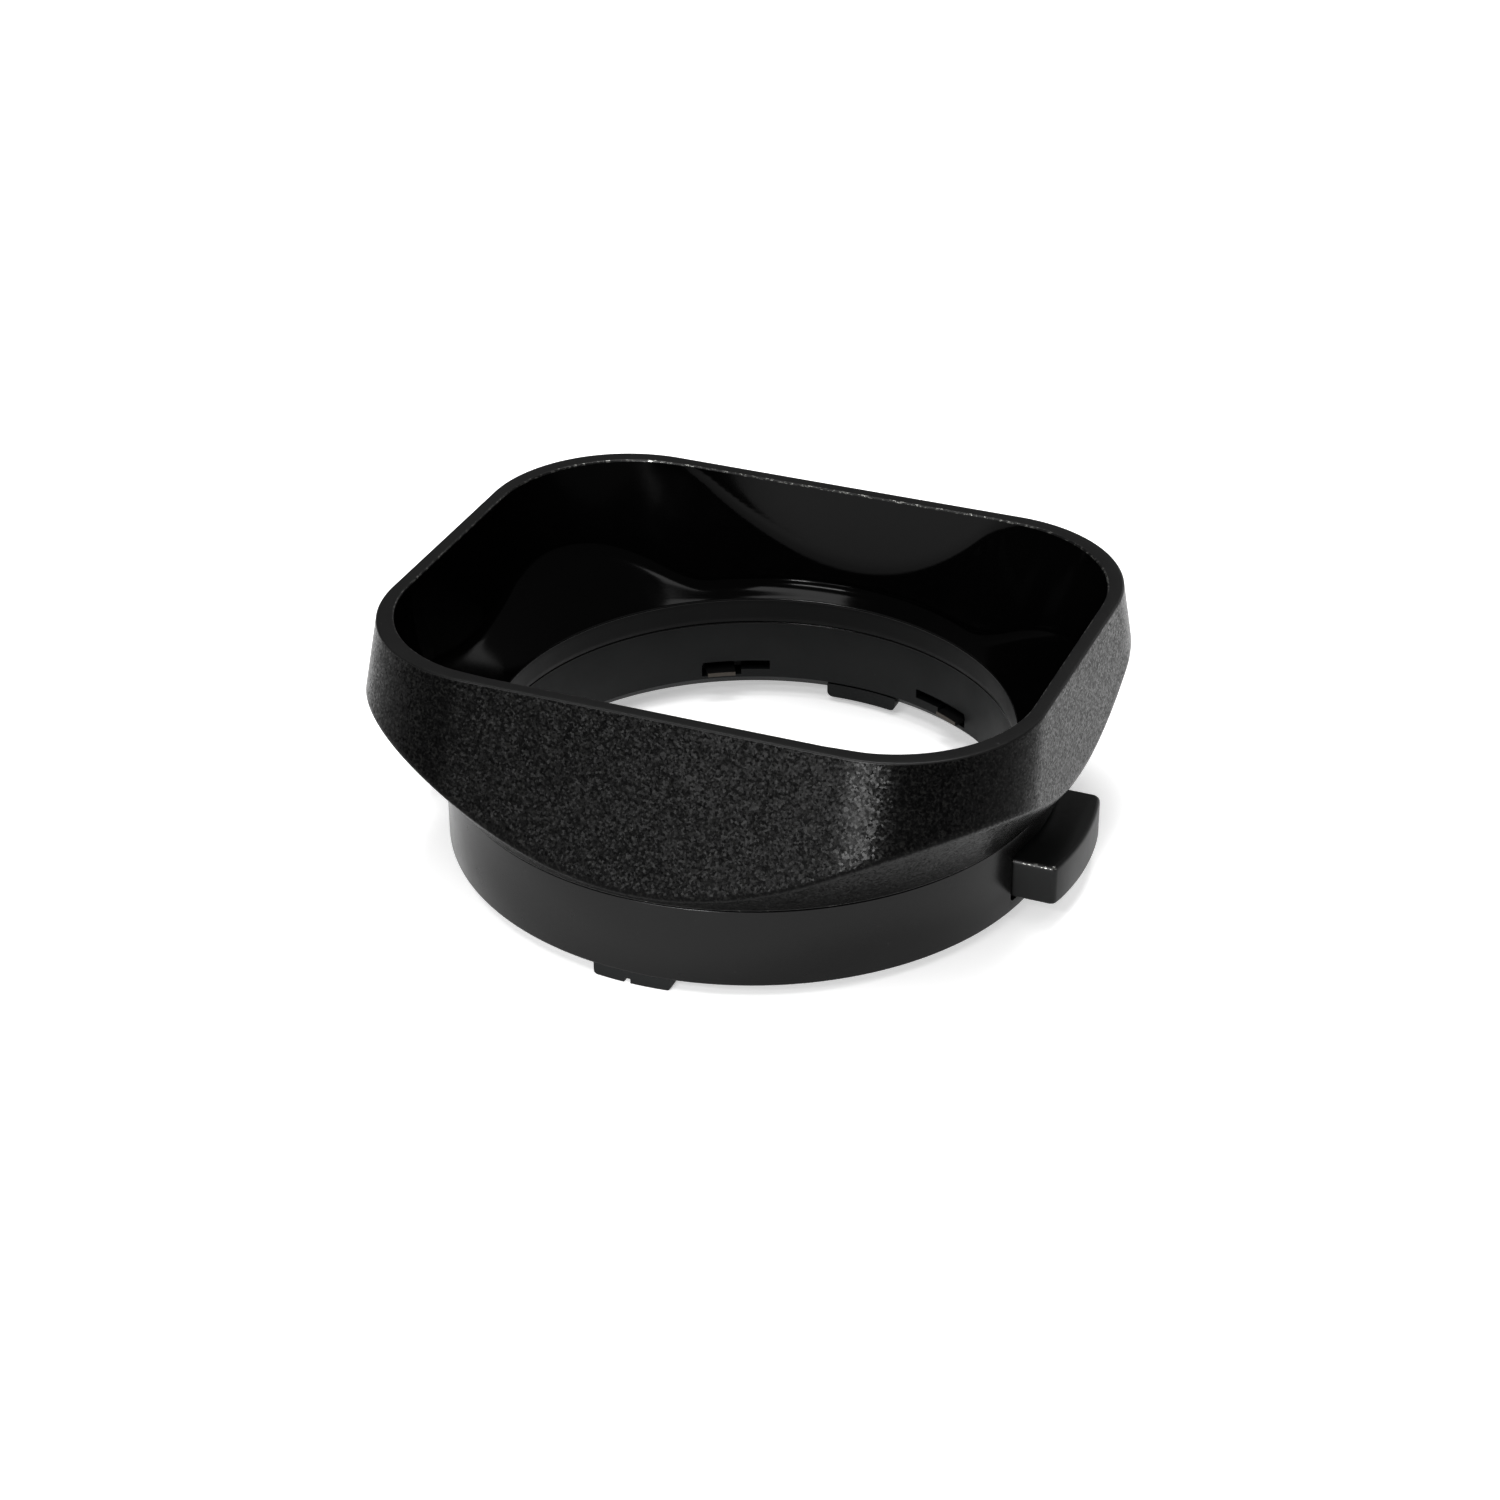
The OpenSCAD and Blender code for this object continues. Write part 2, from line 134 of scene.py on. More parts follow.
# points round the shade, and round a lathed piece
SHADE_STEPS = 960
ROUND_STEPS = 360
# angles from 0 to 90 degrees, for roundings
QUARTER = [math.pi / 2 * k / 4 for k in range(5)]


# ---------------------------------------------------------------- mesh helpers
def new_object(name, verts, faces, smooth=True):
    """A mesh object from points in millimetres."""
    mesh = bpy.data.meshes.new(name)
    mesh.from_pydata([Vector(v) * MM for v in verts], [], faces)
    mesh.validate()
    mesh.update()
    if smooth:
        mesh.shade_smooth()
    obj = bpy.data.objects.new(name, mesh)
    bpy.context.scene.collection.objects.link(obj)
    return obj


def fillet(points, steps=4):
    """Rounds each corner of a closed 2D outline; points are (x, y, radius)."""
    # the largest share of an edge that one rounding may take
    max_share = 0.49
    out = []
    count = len(points)
    for i, (x, y, radius) in enumerate(points):
        here = Vector((x, y))
        if radius <= 0:
            out.append(here)
            continue
        before = Vector(points[i - 1][:2]) - here
        after = Vector(points[(i + 1) % count][:2]) - here
        half = before.angle(after) / 2
        cut = min(radius / math.tan(half), before.length * max_share, after.length * max_share)
        r = cut * math.tan(half)
        middle = (before.normalized() + after.normalized()).normalized()
        centre = here + middle * (r / math.sin(half))
        start = here + before.normalized() * cut - centre
        turn = start.angle_signed(here + after.normalized() * cut - centre)
        for k in range(steps + 1):
            out.append(centre + Matrix.Rotation(-turn * k / steps, 2) @ start)
    return out


def skin(name, rings, finishes=None):
    """A closed ring-shaped surface through equal rings, with a material slot for each ring."""
    n = len(rings[0])
    verts = [p for ring in rings for p in ring]
    faces = []
    for j in range(len(rings)):
        k = (j + 1) % len(rings)
        for i in range(n):
            m = (i + 1) % n
            faces.append((j * n + i, j * n + m, k * n + m, k * n + i))
    obj = new_object(name, verts, faces)
    if finishes:
        obj.data.polygons.foreach_set("material_index", [f for f in finishes for _ in range(n)])
    return obj


def lathe(name, outline):
    """Turns a closed (r, z) outline round the Z axis."""
    angles = [2 * math.pi * i / ROUND_STEPS for i in range(ROUND_STEPS)]
    rings = [[(r * math.cos(a), r * math.sin(a), z) for a in angles]
             for r, z in (Vector(point) for point in outline)]
    obj = skin(name, rings)
    outward(obj)
    return obj


def prism(name, outline, z0, z1):
    """An upright prism over a closed (x, y) outline."""
    n = len(outline)
    verts = [(p[0], p[1], z) for z in (z0, z1) for p in outline]
    faces = [tuple(range(n))[::-1], tuple(range(n, 2 * n))]
    faces += [(i, (i + 1) % n, n + (i + 1) % n, n + i) for i in range(n)]
    return new_object(name, verts, faces, smooth=False)


def outward(obj):
    """Points all faces of a mesh outwards."""
    bm = bmesh.new()
    bm.from_mesh(obj.data)
    bmesh.ops.recalc_face_normals(bm, faces=bm.faces)
    bm.to_mesh(obj.data)
    bm.free()


def apply_modifiers(obj):
    """Replaces an object's mesh by what its modifiers make of it."""
    graph = bpy.context.evaluated_depsgraph_get()
    mesh = bpy.data.meshes.new_from_object(obj.evaluated_get(graph))
    obj.modifiers.clear()
    obj.data = mesh


def boolean(obj, others, operation="DIFFERENCE"):
    """Cuts, joins or intersects an object with others, which are used up."""
    for other in others:
        mod = obj.modifiers.new("cut", "BOOLEAN")
        mod.operation = operation
        mod.solver = "EXACT"
        mod.object = other
    apply_modifiers(obj)
    for other in others:
        bpy.data.objects.remove(other)


def soft_edges(obj, width, angle):
    """Rounds the edges that turn by more than an angle in degrees, and keeps flats flat."""
    bevel = obj.modifiers.new("edges", "BEVEL")
    bevel.width = width * MM
    bevel.segments = 2
    bevel.limit_method = "ANGLE"
    bevel.angle_limit = math.radians(angle)
    bevel.harden_normals = True
    apply_modifiers(obj)


# ---------------------------------------------------------------- shade
def softer(a, b, k, low=True):
    """Smooth minimum (or maximum) of two lengths, rounding the crease by about k."""
    h = max(k - abs(a - b), 0.0) / k
    return min(a, b) - h * h * k / 4 if low else max(a, b) + h * h * k / 4


def slab_polar(angle, a, b, corner):
    """Distance from the axis to a rounded rectangle in one direction."""
    c = abs(math.cos(angle))
    s = abs(math.sin(angle))
    flat_x = a / max(c, TINY)
    if flat_x * s <= b - corner:
        return flat_x
    flat_y = b / max(s, TINY)
    if flat_y * c <= a - corner:
        return flat_y
    cx = a - corner
    cy = b - corner
    along = c * cx + s * cy
    return along + math.sqrt(max(along * along - cx * cx - cy * cy + corner * corner, 0.0))


def cone(z):
    """Radius of the cone that trims the walls from below."""
    return TRIM_R + TRIM_SLOPE * (z - SHADE_Z)


def funnel(z):
    """Radius of the funnel that leads down to the throat."""
    return THROAT_R + FUNNEL_SLOPE * (z - THROAT_TOP)


def outside_walls(angle, z):
    """The outer walls without the cone."""
    drop = RIM_Z - z
    return slab_polar(angle, RIM_A + LEAN_X * drop, RIM_B + LEAN_Y * drop,
                      RIM_CORNER + CORNER_GROWTH * drop)


def outside(angle, z):
    """The shade's outer surface."""
    return softer(outside_walls(angle, z), cone(z), CONE_CREASE)


def inside_walls(angle, z):
    """The pocket and the round bore, kept inside the leaning long walls."""
    drop = RIM_Z - z
    pocket = slab_polar(angle, RIM_A - RIM_WALL - DRAFT * drop, RIM_B - RIM_WALL - DRAFT * drop,
                        RIM_CORNER - POCKET_CORNER_INSET + POCKET_CORNER_GROWTH * drop)
    bore = BORE_R + DRAFT * (z - BORE_Z)
    leaning = (RIM_B - RIM_WALL + LEAN_Y * drop) / max(abs(math.sin(angle)), TINY)
    return softer(softer(pocket, bore, BORE_CREASE, low=False), leaning, LEAN_CREASE)


def inside(angle, z):
    """The shade's inner surface."""
    return softer(inside_walls(angle, z), funnel(z), FUNNEL_CREASE)


def crossing(f, lo, hi):
    """Where f changes sign between lo and hi."""
    for _ in range(40):
        mid = (lo + hi) / 2
        lo, hi = (mid, hi) if f(mid) < 0 else (lo, mid)
    return (lo + hi) / 2


def spaced(lo, hi, middle, below, above):
    """Heights from lo to hi, closer together near middle."""
    down = [middle - (middle - lo) * (t / below) ** CROWDING for t in range(below, 0, -1)]
    up = [middle + (hi - middle) * (t / above) ** CROWDING for t in range(1, above + 1)]
    return down + [middle] + up


# the shade's material slots
COAT_SLOT, RIM_SLOT, INSIDE_SLOT, WORN_SLOT, LAND_SLOT, EDGE_SLOT, LIP_SLOT = range(7)


def shade_column(a):
    """The shade's section at one angle, as stretches of (r, z) points with their material slot."""
    crease = crossing(lambda z: cone(z) - outside_walls(a, z), SHADE_Z, CREASE_TOP)
    foot = crossing(lambda z: funnel(z) - inside_walls(a, z), THROAT_TOP, CREASE_TOP)

    seat = [(THROAT_R + SPIGOT_ROUND, SPIGOT_Z), (SPIGOT_R - SPIGOT_ROUND, SPIGOT_Z),
            (SPIGOT_R, SPIGOT_Z + SPIGOT_ROUND), (SPIGOT_R, COLLAR_H), (SEAT_R, COLLAR_H),
            (SEAT_R, SHADE_Z)]

    low = SHADE_Z + LIP_ROUND
    r = outside(a, low)
    lower = [(r - LIP_ROUND * (1 - math.sin(t)), SHADE_Z + LIP_ROUND * (1 - math.cos(t)))
             for t in QUARTER]

    high = RIM_Z - RIM_OUTER_ROUND
    heights = [low + GUARD, *spaced(low, high, crease, *OUTER_RINGS)[1:-1], high - GUARD, high]
    walls = [(outside(a, z), z) for z in heights]

    r = outside(a, high)
    rim = [(r - RIM_OUTER_ROUND * (1 - math.cos(t)), RIM_Z - RIM_OUTER_ROUND * (1 - math.sin(t)))
           for t in QUARTER[1:]]

    top = RIM_Z - RIM_INNER_ROUND
    r = inside(a, top)
    worn = [(r + RIM_INNER_ROUND * (1 - math.sin(t)), RIM_Z - RIM_INNER_ROUND * (1 - math.cos(t)))
            for t in QUARTER]

    start = THROAT_TOP + THROAT_EDGE_START
    heights = [top - GUARD, *reversed(spaced(start, top, foot, *INNER_RINGS)[:-1])]
    pocket = [(inside(a, z), z) for z in heights]

    reach = inside(a, start) - THROAT_R
    throat_edge = [(THROAT_R + reach * (1 - t) ** 2, start - THROAT_EDGE_H * t)
                   for t in (0.25, 0.5, 0.75)]

    heights = [start - THROAT_EDGE_H, THROAT_TOP - LAND_BELOW_TOP, SPIGOT_Z + LAND_ABOVE_BOTTOM,
               SPIGOT_Z + SPIGOT_ROUND]
    land = [(THROAT_R, z) for z in heights]
    return ((LAND_SLOT, seat), (LIP_SLOT, lower), (COAT_SLOT, walls), (RIM_SLOT, rim),
            (WORN_SLOT, worn), (INSIDE_SLOT, pocket), (EDGE_SLOT, throat_edge), (LAND_SLOT, land))


def build_shade():
    """The whole shade, as rings through the columns of all angles."""
    columns = []
    for i in range(SHADE_STEPS):
        a = 2 * math.pi * (i + 0.5) / SHADE_STEPS
        stretches = shade_column(a)
        columns.append([(r * math.cos(a), r * math.sin(a), z)
                        for _, points in stretches for r, z in points])
    finishes = [slot for slot, points in stretches for _ in points]
    obj = skin("shade_skin", [list(ring) for ring in zip(*columns)], finishes)
    outward(obj)
    return obj


shade = build_shade()
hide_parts("shade")
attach(shade, "housing")

# ---------------------------------------------------------------- collar
# inner radius of the collar's wall
WALL_R = 26.95
# inner radius and lower face of the flange at the collar's top
FLANGE_R = 25.0
FLANGE_Z = 6.3
# half width, bottom and top of a finger tab
TAB_HALF = 6.6
TAB_Z0 = 1.4
TAB_Z1 = 5.3
# gap round a tab in its window, and the window's corner radius
WINDOW_GAP = 0.3
WINDOW_CORNER = 0.35
# distances from the axis between which the window cutters stand
WINDOW_CUT = (20, 32)
# radius, height and rounding of each corner of the collar's section
COLLAR_SECTION = (
    (WALL_R, 0, 0.1),
    (COLLAR_R, 0, 0.2),
    (COLLAR_R, COLLAR_H, 0.09),
    (FLANGE_R, COLLAR_H, 0.08),
    (FLANGE_R, FLANGE_Z, 0.08),
    (WALL_R, FLANGE_Z, 0.1),
)
# thickness of the layer that counts as the collar's top, where the gap's shade is painted, and the least
# Z of a normal that points up
PAINTED_SHADE_LAYER = 0.05
POINTS_UP = 0.9


def window_cutter(side):
    """A block through the collar's wall, at +X for side 1 and at -X for side -1."""
    half = TAB_HALF + WINDOW_GAP
    low = TAB_Z0 - WINDOW_GAP
    high = TAB_Z1 + WINDOW_GAP
    face = fillet([(-half, low, WINDOW_CORNER), (half, low, WINDOW_CORNER),
                   (half, high, WINDOW_CORNER), (-half, high, WINDOW_CORNER)])
    cutter = prism("cutter", face, *WINDOW_CUT)
    cutter.data.transform(Matrix(((0, 0, side, 0), (1, 0, 0, 0), (0, 1, 0, 0), (0, 0, 0, 1))))
    outward(cutter)
    return cutter


def build_collar():
    """The round outer ring with its two windows; slot 1 is the flat top under the shade's lip, where the
    gap's shade is painted near black.
    """
    obj = lathe("collar_skin", fillet(COLLAR_SECTION))
    boolean(obj, [window_cutter(side) for side in (-1, 1)])
    soft_edges(obj, width=0.1, angle=50)
    # slot 1 takes the painted shade of the gap under the shade's lip
    for polygon in obj.data.polygons:
        high = polygon.center.z > (COLLAR_H - PAINTED_SHADE_LAYER) * MM
        polygon.material_index = int(high and polygon.normal.z > POINTS_UP)
    return obj


collar = build_collar()
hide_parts("collar")
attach(collar, "housing")

# ---------------------------------------------------------------- mounting sleeve
# bore radius, outer radius and top of the sleeve
SLEEVE_R = 24.0
SLEEVE_OUT = 24.8
SLEEVE_TOP = 7.1
# radius and thickness of the rear flange, and size of the lead-in bevel at the bore's rear
REAR_R = 26.9
PLATE_H = 1.0
LEAD_IN = 1.0
# radius, height and rounding of each corner of the sleeve's section
SLEEVE_SECTION = (
    (SLEEVE_R + LEAD_IN, 0, 0.12),
    (REAR_R, 0, 0.05),
    (REAR_R, PLATE_H, 0.05),
    (SLEEVE_OUT, PLATE_H, 0),
    (SLEEVE_OUT, SLEEVE_TOP, 0.1),
    (SLEEVE_R, SLEEVE_TOP, 0.15),
    (SLEEVE_R, LEAD_IN, 0.12),
)
# each claw slot is a slit and a lower notch: degrees from the Y axis, and heights
SLOT_ANGLES = (18.5, 34.3)
SLOT_Z = (1.85, 2.8)
NOTCH_ANGLES = (25.2, 34.5)
NOTCH_Z = (1.3, 2.6)
# radii between which the slot cutters stand, and their steps round the axis
SLOT_CUT = (22, 25.8)
SLOT_STEPS = 24
# half width of a locating key, and how far its block stops below the flange's top
KEY_HALF = 3.6
KEY_SINK = 0.2
# side, middle, depth and corner radius of each key
KEYS = ((1, 1.6, 0.6, 0.55), (-1, -0.1, 1.25, 0.35))
# distances from the axis between which the keys' blocks stand
KEY_BLOCK = (20, 30)
# radius and height of each corner of the ring that bounds the keys, which clears the collar
KEY_RING = (
    (SLEEVE_R, -2),
    (27.75, -2),
    (27.75, -0.05),
    (26.7, -0.05),
    (26.7, 0.6),
    (SLEEVE_R, 0.8),
)
# the small notch in the key at -Y: its sides, its ends and its bottom and top
KEY_NOTCH_X = (-0.75, -0.15)
KEY_NOTCH_Y = (-29, -22)
KEY_NOTCH_Z = (-2, -0.8)
# depth of the rounded top edge of the sleeve, and least and most Z of its normals
EDGE_DEPTH = 0.16
EDGE_Z_MIN = 0.1
EDGE_Z_MAX = 0.95


def slot_cutter(angles, heights):
    """A curved block between two angles in degrees and two heights."""
    a0, a1 = angles
    r0, r1 = SLOT_CUT
    turns = [math.radians(a0 + (a1 - a0) * i / SLOT_STEPS) for i in range(SLOT_STEPS + 1)]
    outline = [(r1 * math.cos(a), r1 * math.sin(a)) for a in turns]
    outline += [(r0 * math.cos(a), r0 * math.sin(a)) for a in reversed(turns)]
    obj = prism("slot", outline, *heights)
    outward(obj)
    return obj


def build_key(side, x, depth, corner):
    """A locating key: a flat-bottomed block under the flange, with rounded corners."""
    top = PLATE_H - KEY_SINK
    face = fillet([(x - KEY_HALF, -depth, corner), (x + KEY_HALF, -depth, corner),
                   (x + KEY_HALF, top, 0), (x - KEY_HALF, top, 0)])
    block = prism("key", face, *KEY_BLOCK)
    block.data.transform(Matrix(((1, 0, 0, 0), (0, 0, side, 0), (0, 1, 0, 0), (0, 0, 0, 1))))
    outward(block)
    boolean(block, [lathe("key_ring", KEY_RING)], "INTERSECT")
    return block


def build_sleeve():
    """The inner tube with claw slots and keys; slot 1 is the rounded top edge."""
    obj = lathe("sleeve_skin", fillet(SLEEVE_SECTION))
    slots = []
    for side in (90, 270):
        for turn in (-1, 1):
            for ends, heights in ((SLOT_ANGLES, SLOT_Z), (NOTCH_ANGLES, NOTCH_Z)):
                slots.append(slot_cutter(sorted(side + turn * end for end in ends), heights))
    boolean(obj, slots)
    boolean(obj, [build_key(*key) for key in KEYS], "UNION")
    notch = prism("notch", [(KEY_NOTCH_X[0], KEY_NOTCH_Y[0]), (KEY_NOTCH_X[1], KEY_NOTCH_Y[0]),
                            (KEY_NOTCH_X[1], KEY_NOTCH_Y[1]), (KEY_NOTCH_X[0], KEY_NOTCH_Y[1])],
                  *KEY_NOTCH_Z)
    outward(notch)
    boolean(obj, [notch])
    soft_edges(obj, width=0.07, angle=35)
    for polygon in obj.data.polygons:
        high = polygon.center.z > (SLEEVE_TOP - EDGE_DEPTH) * MM
        polygon.material_index = int(high and EDGE_Z_MIN < polygon.normal.z < EDGE_Z_MAX)
    return obj


sleeve = build_sleeve()
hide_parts("mount_sleeve")
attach(sleeve, "housing")

# ---------------------------------------------------------------- finger tabs
# radius of a tab's outer face, and the distance of that face from the axis
TAB_FACE_R = 28.0
TAB_REACH = 31.8
# radius of the slider plate that the tab's root stands on
PLATE_R = 26.75
# corner radii of a tab's plan at its two ends, and points along its face
TAB_CORNERS = (0.55, 0.95)
TAB_FACE_STEPS = 24
# stretch next to each corner that the face's points leave free, and how far the corners stand back
TAB_CORNER_GAP = 0.9
TAB_CORNER_BACK = 0.05
# roundings of a tab's bottom and top edge, and how much of them the plan follows
TAB_BOTTOM_ROUND = 0.35
TAB_TOP_ROUND = 0.5
TAB_INSET_SHARE = 0.6
# least and most Y, and least Z, of the normals on the worn upper edge of a tab's end
WORN_Y_MIN = 0.4
WORN_Y_MAX = 0.95
WORN_Z_MIN = 0.35
# radius and height of each corner of the cylinder that cuts a tab's root to the plate
ROOT_SECTION = ((0.5, 0), (PLATE_R, 0), (PLATE_R, 8), (0.5, 8))


def tab_outline(inset):
    """Plan of a tab: a curved outer face, rounded outer corners and a root inside the collar."""
    half = TAB_HALF - inset
    face = TAB_FACE_R - inset
    centre = TAB_REACH - TAB_FACE_R
    corner_x = math.sqrt(face * face - half * half) + centre - TAB_CORNER_BACK
    points = [(PLATE_R, -half, 0), (corner_x, -half, TAB_CORNERS[0])]
    for k in range(1, TAB_FACE_STEPS):
        y = -half + 2 * half * k / TAB_FACE_STEPS
        if abs(y) < half - TAB_CORNER_GAP:
            points.append((math.sqrt(face * face - y * y) + centre, y, 0))
    points += [(corner_x, half, TAB_CORNERS[1]), (PLATE_R, half, 0)]
    return fillet(points, 6)


def build_tab(name, turn):
    """The finger tab, lofted upwards; slot 1 is the worn upper edge of its two ends."""
    levels = [(TAB_BOTTOM_ROUND * (1 - math.sin(t)), TAB_Z0 + TAB_BOTTOM_ROUND * (1 - math.cos(t)))
              for t in QUARTER]
    levels += [(TAB_TOP_ROUND * (1 - math.cos(t)), TAB_Z1 - TAB_TOP_ROUND * (1 - math.sin(t)))
               for t in QUARTER]
    rings = [[(p[0], p[1], z) for p in tab_outline(inset * TAB_INSET_SHARE)] for inset, z in levels]
    n = len(rings[0])
    last = len(rings) - 1
    verts = [p for ring in rings for p in ring]
    faces = [tuple(range(n)), tuple(last * n + i for i in range(n))]
    for j in range(last):
        faces += [(j * n + i, j * n + (i + 1) % n, (j + 1) * n + (i + 1) % n, (j + 1) * n + i)
                  for i in range(n)]
    tab = new_object(name, verts, faces)
    outward(tab)
    boolean(tab, [lathe("root", ROOT_SECTION)])
    soft_edges(tab, width=0.05, angle=50)
    for polygon in tab.data.polygons:
        across = abs(polygon.normal.y)
        at_end = WORN_Y_MIN < across < WORN_Y_MAX
        polygon.material_index = int(at_end and polygon.normal.z > WORN_Z_MIN)
    tab.data.transform(Matrix.Rotation(math.radians(turn), 4, "Z"))
    return tab


tabs = []
for name, turn in (("right", 0), ("left", 180)):
    tab = build_tab(f"{name}_tab_skin", turn)
    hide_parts(f"{name}_tab")
    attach(tab, f"{name}_slider")
    tabs.append(tab)


# ---------------------------------------------------------------- materials
class Nodes:
    """A small helper that builds one node material."""

    def __init__(self, name):
        self.material = bpy.data.materials.new(name)
        self.material.use_nodes = True
        self.tree = self.material.node_tree
        self.shader = self.tree.nodes["Principled BSDF"]
        self.place = self.add("ShaderNodeTexCoord").outputs["Object"]

    def add(self, kind, **values):
        """A new node with some of its settings."""
        node = self.tree.nodes.new(kind)
        for key, value in values.items():
            setattr(node, key, value)
        return node

    def link(self, a, b):
        self.tree.links.new(a, b)

    def feed(self, socket, value):
        """Links a value to one of the shader's sockets."""
        self.link(value, self.shader.inputs[socket])

    def set(self, **values):
        """Sets numbers on the shader's own sockets."""
        for key, value in values.items():
            self.shader.inputs[key.replace("_", " ")].default_value = value

    def noise(self, scale, detail, roughness, stretch=None):
        """Noise over the object, scale in features per metre."""
        node = self.add("ShaderNodeTexNoise")
        node.inputs["Scale"].default_value = scale
        node.inputs["Detail"].default_value = detail
        node.inputs["Roughness"].default_value = roughness
        if stretch:
            mapping = self.add("ShaderNodeMapping")
            mapping.inputs["Scale"].default_value = stretch
            self.link(self.place, mapping.inputs["Vector"])
            self.link(mapping.outputs["Vector"], node.inputs["Vector"])
        else:
            self.link(self.place, node.inputs["Vector"])
        return node.outputs["Fac"]

    def grains(self, scale, tilt):
        """The surface normal, tipped a little at random in each small grain."""
        cells = self.add("ShaderNodeTexVoronoi")
        cells.inputs["Scale"].default_value = scale
        self.link(self.place, cells.inputs["Vector"])
        tip = self.add("ShaderNodeVectorMath", operation="MULTIPLY_ADD")
        self.link(cells.outputs["Color"], tip.inputs[0])
        tip.inputs[1].default_value = (tilt, tilt, tilt)
        tip.inputs[2].default_value = (-tilt / 2, -tilt / 2, -tilt / 2)
        lean = self.add("ShaderNodeVectorMath", operation="ADD")
        self.link(self.add("ShaderNodeNewGeometry").outputs["Normal"], lean.inputs[0])
        self.link(tip.outputs["Vector"], lean.inputs[1])
        unit = self.add("ShaderNodeVectorMath", operation="NORMALIZE")
        self.link(lean.outputs["Vector"], unit.inputs[0])
        return unit.outputs["Vector"]

    def remap(self, value, lo, hi, out_lo, out_hi):
        """Maps lo..hi to out_lo..out_hi, and clamps."""
        node = self.add("ShaderNodeMapRange")
        self.link(value, node.inputs["Value"])
        for key, number in zip(("From Min", "From Max", "To Min", "To Max"), (lo, hi, out_lo, out_hi)):
            node.inputs[key].default_value = number
        return node.outputs["Result"]

    def ramp(self, value, stops):
        """A colour ramp with (position, colour) stops."""
        node = self.add("ShaderNodeValToRGB")
        elements = node.color_ramp.elements
        while len(elements) < len(stops):
            elements.new(0.5)
        for element, (position, colour) in zip(elements, stops):
            element.position = position
            element.color = (*colour, 1)
        self.link(value, node.inputs["Fac"])
        return node.outputs["Color"]

    def bump(self, height, distance, strength):
        """Bump with its distance in millimetres."""
        node = self.add("ShaderNodeBump")
        node.inputs["Distance"].default_value = distance * MM
        node.inputs["Strength"].default_value = strength
        self.link(height, node.inputs["Height"])
        return node.outputs["Normal"]


# the part of a noise's range that roughness follows
SPAN = (0.3, 0.7)


def grey(level):
    """A neutral colour."""
    return (level, level, level)


def powder_coat():
    """Black powder coat with a fine sandy grain that glints."""
    m = Nodes("shade_powder_coat")
    grain = m.noise(3600, detail=2.0, roughness=0.6)
    patch = m.noise(240, detail=3.0, roughness=0.6)
    m.feed("Base Color", m.ramp(grain, [(0.38, grey(0.0005)), (0.52, grey(0.0015)),
                                        (0.66, (0.008, 0.008, 0.0075))]))
    m.feed("Roughness", m.remap(patch, *SPAN, 0.24, 0.28))
    m.feed("Normal", m.grains(5200, tilt=0.17))
    m.set(IOR=1.16)
    return m.material


def satin_black(name, base, roughness, grain_depth=0.006, dust_level=0.05, ior=1.36):
    """Smooth satin paint with faint unevenness and a little dust."""
    m = Nodes(name)
    grain = m.noise(5200, detail=2.0, roughness=0.5)
    cloud = m.noise(160, detail=3.0, roughness=0.6)
    dust = m.noise(1300, detail=4.0, roughness=0.75)
    dusty = tuple(c + dust_level for c in base)
    m.feed("Base Color", m.ramp(dust, [(0.0, base), (0.7, base), (0.78, dusty)]))
    m.feed("Roughness", m.remap(cloud, *SPAN, roughness - 0.04, roughness + 0.05))
    m.feed("Normal", m.bump(grain, grain_depth, 0.5))
    m.set(IOR=ior)
    return m.material


def gloss_black():
    """The shade's smooth inside, near black with a soft gloss and a few specks of dust."""
    m = Nodes("shade_inside_gloss")
    grain = m.noise(4200, detail=2.0, roughness=0.5)
    ripple = m.noise(420, detail=2.0, roughness=0.5)
    speck = m.noise(820, detail=4.0, roughness=0.8)
    m.feed("Base Color", m.ramp(speck, [(0.0, grey(0.001)), (0.78, grey(0.001)), (0.84, grey(0.05))]))
    m.feed("Roughness", m.remap(ripple, *SPAN, 0.09, 0.13))
    m.feed("Normal", m.bump(grain, 0.003, 0.4))
    m.set(IOR=1.2)
    return m.material


def worn_edge(name, bare):
    """A thin edge where the paint has rubbed down to bright specks; a lower bare leaves more of them."""
    m = Nodes(name)
    rub = m.noise(2400, detail=4.0, roughness=0.7)
    full = bare + 0.08
    m.feed("Base Color", m.ramp(rub, [(0.0, grey(0.003)), (bare, grey(0.005)),
                                      (full, (0.22, 0.22, 0.21))]))
    m.feed("Roughness", m.remap(rub, bare, full, 0.35, 0.22))
    m.feed("Metallic", m.remap(rub, bare, full, 0.0, 0.9))
    m.feed("Normal", m.bump(rub, 0.02, 0.5))
    m.set(IOR=1.35)
    return m.material


def brushed_steel(name, base, roughness, along):
    """Rolled or turned steel with fine lines; along squeezes the lines in X, Y and Z."""
    m = Nodes(name)
    lines = m.noise(900, detail=3.0, roughness=0.6, stretch=along)
    dark = tuple(c * 0.7 for c in base)
    m.feed("Base Color", m.ramp(lines, [(SPAN[0], dark), (SPAN[1], base)]))
    m.feed("Roughness", m.remap(lines, *SPAN, roughness - 0.06, roughness + 0.08))
    m.feed("Normal", m.bump(lines, 0.01, 0.4))
    m.set(Metallic=1.0)
    return m.material


